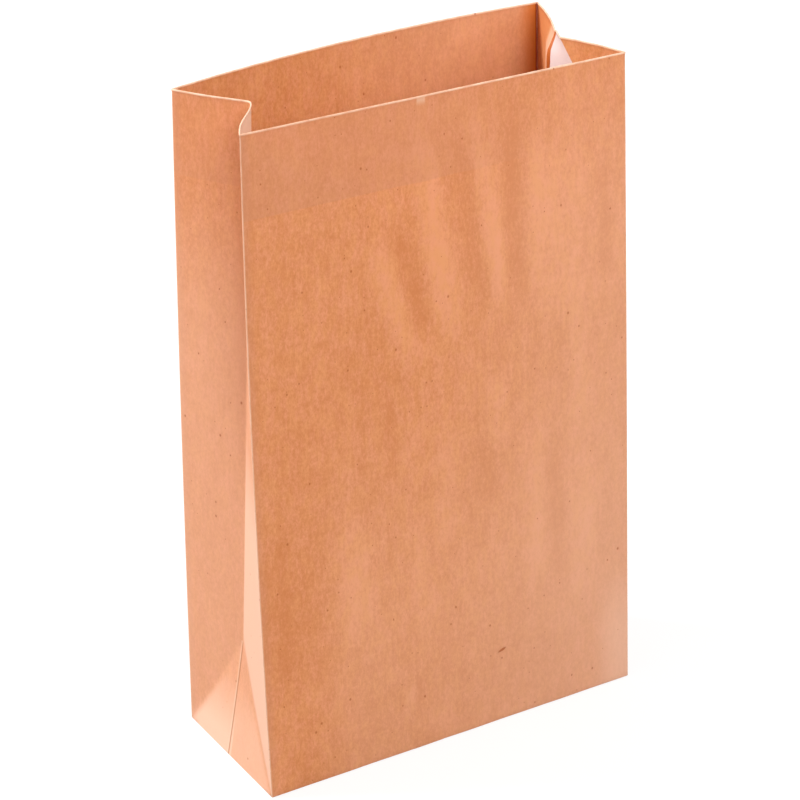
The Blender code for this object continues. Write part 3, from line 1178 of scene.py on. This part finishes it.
    def _crease(self, side: Side, height: float) -> Vector:
        """Return where a gusset's centre crease lies in plan.

        Args:
            side: Which gusset.
            height: The height.

        Returns:
            Its X and Y.
        """
        middle = (self.corner(side, Face.FRONT, height) + self.corner(side, Face.BACK, height)) / 2
        near_rim = ease(1 - (self.height - height) / self.rim_shift_height)
        shift = self.left_rim_shift if side is Side.LEFT else self.right_rim_shift
        return middle - Vector((side.value * self._push(side, height), 0.0)) + Vector(shift) * near_rim

    def _wide_panel(self, face: Face, x: float, height: float) -> Vector:
        """Return where a point of the front or back panel lies in plan.

        Args:
            face: Which wide panel.
            x: The point's place across the flat panel, from its middle.
            height: Its height.

        Returns:
            Its place in plan.
        """
        left, right = self.corner(Side.LEFT, face, height), self.corner(Side.RIGHT, face, height)
        share = x / self.width + 0.5
        along = (right - left).normalized()
        out = Vector((-along.y, along.x)) * face.value
        rise = self._front_rise(x, height) if face is Face.FRONT else self._back_rise(x, height)
        return left.lerp(right, share) + out * rise

    def _front_rise(self, x: float, height: float) -> float:
        """Return how far the front panel stands out.

        Args:
            x: The place across the flat panel, from its middle.
            height: The height.

        Returns:
            The rise in metres.
        """
        from_side = (self.width / 2 - abs(x)) / self.flat_fold_run
        above = 1 - (height - self.flat_fold_height) / self.flat_fold_fade
        rise = self.flat_fold_rise * max(min(height / self.flat_fold_height, from_side, above, 1.0), 0.0)
        rise += sum(buckle.height_at(x, height) for buckle in self.buckles)
        rise += self._cockle(Face.FRONT, x, height)
        rise *= ease(self.stiff_edges * arch(x / self.width + 0.5))
        hidden = self.lap_edge_x - self.lap_width
        if x < self.lap_edge_x + self.cut_edge / 2:
            rise += self.ply * ease((x - hidden + self.lap_ramp) / self.lap_ramp)
        return rise

    def _cockle(self, face: Face, x: float, height: float) -> float:
        """Return the slight unevenness of a wide panel, in metres."""
        across, along = self.cockle_scale
        return self.cockle * noise.noise(Vector((x * across, self.cockle_seeds[face], height * along)))

    def _back_rise(self, x: float, height: float) -> float:
        """Return how far the back panel bellies out.

        Args:
            x: The place across the flat panel, from its middle.
            height: The height.

        Returns:
            The rise in metres.
        """
        share = x / self.width + 0.5
        swell = self.back_swell * arch(share) * max(height / self.height, 0.0) ** self.back_swell_power
        return swell + self._cockle(Face.BACK, x, height) * ease(self.stiff_edges * arch(share))

    def _gusset(self, side: Side, y: float, height: float) -> Vector:
        """Return where a point of a gusset lies in plan.

        Args:
            side: Which gusset.
            y: The point's place across the flat gusset, from its centre crease.
            height: Its height.

        Returns:
            Its place in plan.
        """
        half = self.depth / 2
        face = Face.FRONT if y < 0 else Face.BACK
        run = abs(y)
        if height < self.triangle_height:
            return self._triangle_zone(side, y, height)
        corner, crease = self.corner(side, face, height), self._crease(side, height)
        rise = (height - self.triangle_height) / (self.height - self.triangle_height)
        if side is Side.RIGHT and face is Face.FRONT:
            return self._pinched(run, height, corner, crease, rise)
        share = run / half
        radius = self.crease_radius
        if side is Side.LEFT:
            near_rim = ease(1 - (self.height - height) / self.hem_depth)
            radius += (self.left_rim_crease_radius - radius) * near_rim
        rounded = (math.hypot(run, radius) - radius) / (math.hypot(half, radius) - radius)
        place = Vector((crease.x + (corner.x - crease.x) * rounded, crease.y + (corner.y - crease.y) * share))
        out = self._outward(side, face, corner, crease)
        bulge = self.gusset_swell * arch(share) * rise
        if side is Side.LEFT and face is Face.FRONT:
            swell = self.gusset_swell * self.left_swell_share * math.sin(math.pi * share)
            bulge = (swell - self.rim_curl * math.sin(2 * math.pi * share)) * rise ** 2
        return place + out * bulge

    @staticmethod
    def _outward(side: Side, face: Face, corner: Vector, crease: Vector) -> Vector:
        """Return the outward way from a gusset's half in plan."""
        along = (corner - crease).normalized()
        return Vector((along.y, -along.x)) * face.value * side.value

    def _triangle_zone(self, side: Side, y: float, height: float) -> Vector:
        """Return where a point beside or on the bottom triangle lies in plan.

        Args:
            side: Which gusset.
            y: The point's place across the flat gusset, from its centre crease.
            height: The height.

        Returns:
            Its place in plan.
        """
        half = self.depth / 2
        share = height / self.triangle_height
        flat_half = half * (1 - share)
        front, back = self.corner(side, Face.FRONT, height), self.corner(side, Face.BACK, height)
        base = front.lerp(back, y / self.depth + 0.5)
        push = self.triangle_tip_push * share
        if abs(y) > flat_half:
            push *= (half - abs(y)) / (half - flat_half)
        elif flat_half > 0:
            push += self.triangle_valley * arch(share) * (1 - abs(y) / flat_half)
        return base - Vector((side.value * push, 0.0))

    def _pinched(self, run: float, height: float, corner: Vector, crease: Vector, rise: float) -> Vector:
        """Return where a point of the right gusset's front half lies in plan, with the pinch at its mouth.

        Args:
            run: The point's distance from the centre crease on the flat sheet.
            height: Its height.
            corner: The front corner fold at that height.
            crease: The centre crease at that height.
            rise: Its height as a share of the way from the bottom triangle to the rim.

        Returns:
            Its place in plan.
        """
        half = self.depth / 2
        drop = (self.height - height) / self.pinch_height
        fold = ease(1 - (self.height - height) / self.pleat_height)
        plain = Vector((self.crease_radius, -self.crease_radius))
        near_rim = ease(1 - (self.height - height) / self.rim_shift_height)
        edge = crease + plain.lerp(Vector(self.pleat), fold).lerp(Vector(self.pleat_rim), near_rim)
        edge_run = self.pleat_run[0] + (self.pleat_run[1] - self.pleat_run[0]) * max(1 - drop, 0.0)
        if run < edge_run:
            return crease.lerp(edge, run / edge_run)
        out = self._outward(Side.RIGHT, Face.FRONT, corner, crease)
        if drop >= 1:
            share = (half - run) / (half - edge_run)
            return corner.lerp(edge, share) + out * self.gusset_swell * arch(share) * rise
        pinch_run = half - self.pinch_run * (1 - drop)
        mouth = self._crease(Side.RIGHT, self.height) + Vector(self.pinch_rim)
        pinch = mouth.lerp(corner, drop)
        if run < pinch_run:
            return edge.lerp(pinch, (run - edge_run) / (pinch_run - edge_run))
        share = (half - run) / (half - pinch_run)
        return corner.lerp(pinch, share) + out * self.gusset_swell * arch(share) * rise

    def _fold(self, bag: bpy.types.Object) -> None:
        """Move the box's points to the folded form.

        Args:
            bag: The creased and mapped box.
        """
        half_w, half_d = self.width / 2, self.depth / 2
        for vertex in bag.data.vertices:
            x, y, z = vertex.co
            if abs(abs(y) - half_d) < TOUCH:
                place = self._wide_panel(Face.FRONT if y < 0 else Face.BACK, x, z)
            elif abs(abs(x) - half_w) < TOUCH:
                place = self._gusset(Side.LEFT if x < 0 else Side.RIGHT, y, z)
            else:
                continue
            vertex.co = (place.x, place.y, z)

    def _round_folds(self, bag: bpy.types.Object) -> None:
        """Round the four corner folds and the folds round the bottom with a bevel.

        Args:
            bag: The folded sheet.
        """
        bpy.ops.object.mode_set(mode="EDIT")
        bpy.ops.mesh.select_mode(type="EDGE")
        bpy.ops.mesh.select_all(action="DESELECT")
        shape = bmesh.from_edit_mesh(bag.data)
        for edge in shape.edges:
            low = max(vert.co.z for vert in edge.verts) < TOUCH
            bottom_fold = low and any(abs(face.normal.z) < FACING for face in edge.link_faces)
            if bottom_fold or all(self._on_corner(vert.co) for vert in edge.verts):
                edge.select_set(True)
        bmesh.update_edit_mesh(bag.data)
        bpy.ops.mesh.bevel(
            offset=self.fold_radius, segments=self.fold_segments, affect="EDGES", clamp_overlap=True
        )
        bpy.ops.object.mode_set(mode="OBJECT")

    def _on_corner(self, co: Vector) -> bool:
        """Return whether a point lies on one of the corner folds."""
        spot = Vector((co.x, co.y))
        return any((spot - self.corner(side, face, co.z)).length < TOUCH for side in Side for face in Face)

    def _lay_flaps(self, bag: bpy.types.Object) -> None:
        """Cut the bottom flaps' edges into the base, and step it up where fewer plies lie below.

        Args:
            bag: The folded sheet.
        """
        lead_x, lead_y = self._flap_leads()
        middle = (self.width - self.depth) / 2
        fore, tip = middle - self.flap_ease, middle + self.flap_ease
        edges = [((way * lead_x, 0.0), (1.0, 0.0)) for way in (-1, 1)]
        edges += [((0.0, way * lead_y), (0.0, 1.0)) for way in (-1, 1)]
        edges += [((way * fore, 0.0), (1.0, way)) for way in (-1, 1)]
        edges += [((way * tip, 0.0), (1.0, slant)) for way in (-1, 1) for slant in (-1, 1)]
        bpy.ops.object.mode_set(mode="EDIT")
        for place, across in edges:
            for way in (-0.5, 0.5):
                step = Vector(across).normalized() * self.flap_cut * way
                point = (place[0] + step.x, place[1] + step.y, 0.0)
                self._cut(bag, lambda face: face.normal.z < -LEVEL, point, (*across, 0.0))
        bpy.ops.object.mode_set(mode="OBJECT")
        for vertex in bag.data.vertices:
            if vertex.co.z < self.fold_radius:
                lift = self._plies_below(vertex.co.x, vertex.co.y) * self.ply
                vertex.co.z = lift + vertex.co.z * (1 - lift / self.fold_radius)

    def _flap_leads(self) -> tuple[float, float]:
        """Return where the flaps' leading edges lie: the end flaps' in X and the wide flaps' in Y."""
        return (self.width - self.depth - self.flap_overlap) / 2, self.flap_overlap / 2

    def _plies_below(self, x: float, y: float) -> int:
        """Return how many plies higher than the lowest flap the underside lies.

        Args:
            x: The place's X.
            y: Its Y.

        Returns:
            The count of plies.
        """
        middle = (self.width - self.depth) / 2
        if abs(x) - abs(y) > middle + self.flap_ease:
            return 2
        clear_of_front = abs(x) + y > middle - self.flap_ease
        return 1 if y > self._flap_leads()[1] or clear_of_front else 0

    def _plies_up_to(self, x: float, y: float) -> int:
        """Return how many plies above the ground the floor inside lies.

        Args:
            x: The place's X.
            y: Its Y.

        Returns:
            The count of plies.
        """
        lead_x, lead_y = self._flap_leads()
        if abs(x) > lead_x:
            return 3
        return 2 if y > -lead_y else 1

    def _give_thickness(self, bag: bpy.types.Object) -> None:
        """Give the sheet its plies: one everywhere, a second in the hem, and a rounded fold along the rim.

        Args:
            bag: The folded sheet, still without thickness.
        """
        count = len(bag.data.vertices)
        wall = bag.modifiers.new("ply", "SOLIDIFY")
        wall.thickness = self.ply
        wall.offset = -1.0
        wall.use_even_offset = True
        wall.thickness_clamp = 2.0
        bpy.context.view_layer.objects.active = bag
        bpy.ops.object.modifier_apply(modifier=wall.name)
        vertices = bag.data.vertices
        mark = bag.data.attributes.new(INSIDE_MARK, "FLOAT", "POINT")
        mark.data.foreach_set("value", [0.0] * count + [1.0] * (len(vertices) - count))
        for outer, inner in zip(vertices[:count], vertices[count:2 * count]):
            self._space(outer, inner)

    def _space(self, outer: bpy.types.MeshVertex, inner: bpy.types.MeshVertex) -> None:
        """Set the outer and inner faces of the sheet apart at one of its points.

        Args:
            outer: The point on the outer face, where the folded sheet lies.
            inner: The point on the inner face, one ply in.
        """
        start = outer.co.copy()
        if start.z < self.fold_radius:
            inner.co.z = max(inner.co.z, self._plies_up_to(start.x, start.y) * self.ply)
            return
        inward = inner.co - start
        inward.z = 0.0
        inward.normalize()
        outer_depth, inner_depth = self._depths(start.z)
        outer.co = start + inward * outer_depth
        inner.co = start + inward * inner_depth
        inner.co.z = start.z

    def _depths(self, z: float) -> Span:
        """Return how far in from the folded sheet its outer and inner faces lie.

        Args:
            z: The height.

        Returns:
            Both depths in metres. The rounded rim stands out, so its outer depth is negative.
        """
        centre = self.height - self.rim_radius
        if z > centre:
            reach = self.rim_radius * math.sqrt(max(1 - ((z - centre) / self.rim_radius) ** 2, 0.0))
        elif z > centre - self.rim_neck:
            reach = self.ply + (self.rim_radius - self.ply) * ease(1 - (centre - z) / self.rim_neck)
        else:
            plies = 2 if z > self.height - self.hem_depth - self.cut_edge / 2 else 1
            return 0.0, plies * self.ply
        return self.ply - reach, self.ply + reach

    def _dress(self, bag: bpy.types.Object) -> None:
        """Smooth the bag's shading between its folds and give it its paper.

        Args:
            bag: The finished shape.
        """
        bpy.ops.object.select_all(action="DESELECT")
        bag.select_set(True)
        bpy.context.view_layer.objects.active = bag
        bpy.ops.object.shade_smooth_by_angle(angle=math.radians(self.smooth_angle))
        bag.data.materials.clear()
        bag.data.materials.append(KraftFinish(self, self.buckles).material())
        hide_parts("paper_bag")
        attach(bag, "root")


@dataclass(frozen=True)
class Lamp:
    """A square soft lamp: its place and side in metres, and its power in watts."""

    name: str
    place: Place
    size: float
    power: float

    def hang(self, aim: Place) -> None:
        """Hang the lamp.

        Args:
            aim: The point that it faces.
        """
        data = bpy.data.lights.new(self.name, "AREA")
        data.shape = "SQUARE"
        data.size = self.size
        data.energy = self.power
        lamp = bpy.data.objects.new(self.name, data)
        bpy.context.scene.collection.objects.link(lamp)
        lamp.location = self.place
        lamp.rotation_euler = (Vector(aim) - Vector(self.place)).to_track_quat("-Z", "Y").to_euler()


@dataclass(frozen=True)
class Studio:
    """The floor, the surround, the lamps and the camera, whose angles are in degrees."""

    lamps: tuple[Lamp, ...] = (
        Lamp("key", (-1.80, 1.40, 2.10), 1.0, 104.0),
        Lamp("fill", (-0.75, -2.78, 2.2), 1.6, 79.0),
        Lamp("side", (2.20, -1.60, 1.90), 1.6, 30.0),
    )
    aim: Place = (0.0, 0.0, 0.2)
    eye: Place = (-0.72956, -1.19700, 0.88026)
    turn: float = -32.2839
    tilt: float = 24.6939
    roll: float = 0.1656
    lens: float = 121.5
    sensor: float = 36.0
    shift: Span = (-0.0636, -0.0700)
    floor_size: float = 5.0
    floor_drop: float = 0.0003
    surround: float = 0.50
    surround_colour: Colour = (1.0, 0.99, 0.98, 1.0)
    white: Colour = (1.0, 1.0, 1.0, 1.0)

    def build(self) -> None:
        """Set up the whole studio."""
        self._colour_management()
        self._floor()
        self._world()
        for lamp in self.lamps:
            lamp.hang(self.aim)
        self._camera()

    @staticmethod
    def _colour_management() -> None:
        """Show colours about as they are written."""
        bpy.context.scene.view_settings.view_transform = "Standard"

    def _floor(self) -> None:
        """Lay the floor."""
        bpy.ops.object.select_all(action="DESELECT")
        bpy.ops.mesh.primitive_plane_add(size=self.floor_size, location=(0.0, 0.0, -self.floor_drop))
        floor = bpy.context.object
        floor.name = "floor"
        floor.data.materials.append(FloorFinish().material())

    def _world(self) -> None:
        """Light the bag from all round with a plain soft surround, which the camera sees as white."""
        graph = Graph(bpy.data.worlds.new("surround"))
        rays = graph.node("ShaderNodeLightPath")
        white = graph.node("ShaderNodeBackground", {}, {"Color": self.white, "Strength": 1.0})
        soft = graph.node("ShaderNodeBackground", {}, {"Color": self.surround_colour, "Strength": self.surround})
        both = graph.node(
            "ShaderNodeMixShader", {}, {0: rays.outputs["Is Camera Ray"], 1: soft.outputs[0], 2: white.outputs[0]}
        )
        graph.node("ShaderNodeOutputWorld", {}, {0: both.outputs[0]})
        bpy.context.scene.world = graph.owner

    def _camera(self) -> None:
        """Set the camera at the photograph's viewpoint."""
        turn, tilt, roll = (math.radians(angle) for angle in (self.turn, self.tilt, self.roll))
        back = Vector((math.sin(turn) * math.cos(tilt), -math.cos(turn) * math.cos(tilt), math.sin(tilt)))
        right = Vector((math.cos(turn), math.sin(turn), 0.0))
        upward = back.cross(right)
        across = right * math.cos(roll) + upward * math.sin(roll)
        above = back.cross(across)
        data = bpy.data.cameras.new("camera")
        data.lens = self.lens
        data.sensor_width = self.sensor
        data.shift_x, data.shift_y = self.shift
        camera = bpy.data.objects.new("camera", data)
        bpy.context.scene.collection.objects.link(camera)
        camera.matrix_world = Matrix.Translation(self.eye) @ Matrix((across, above, back)).transposed().to_4x4()
        bpy.context.scene.camera = camera


def main() -> None:
    """Build the bag and its studio, and report each piece."""
    logging.basicConfig(level=logging.INFO, format="%(message)s")
    bag = PaperBag().build()
    log.info("%s: %d faces", bag.name, len(bag.data.polygons))
    studio = Studio()
    studio.build()
    log.info("studio: floor, %d lamps and camera", len(studio.lamps))


if __name__ == "__main__":
    main()
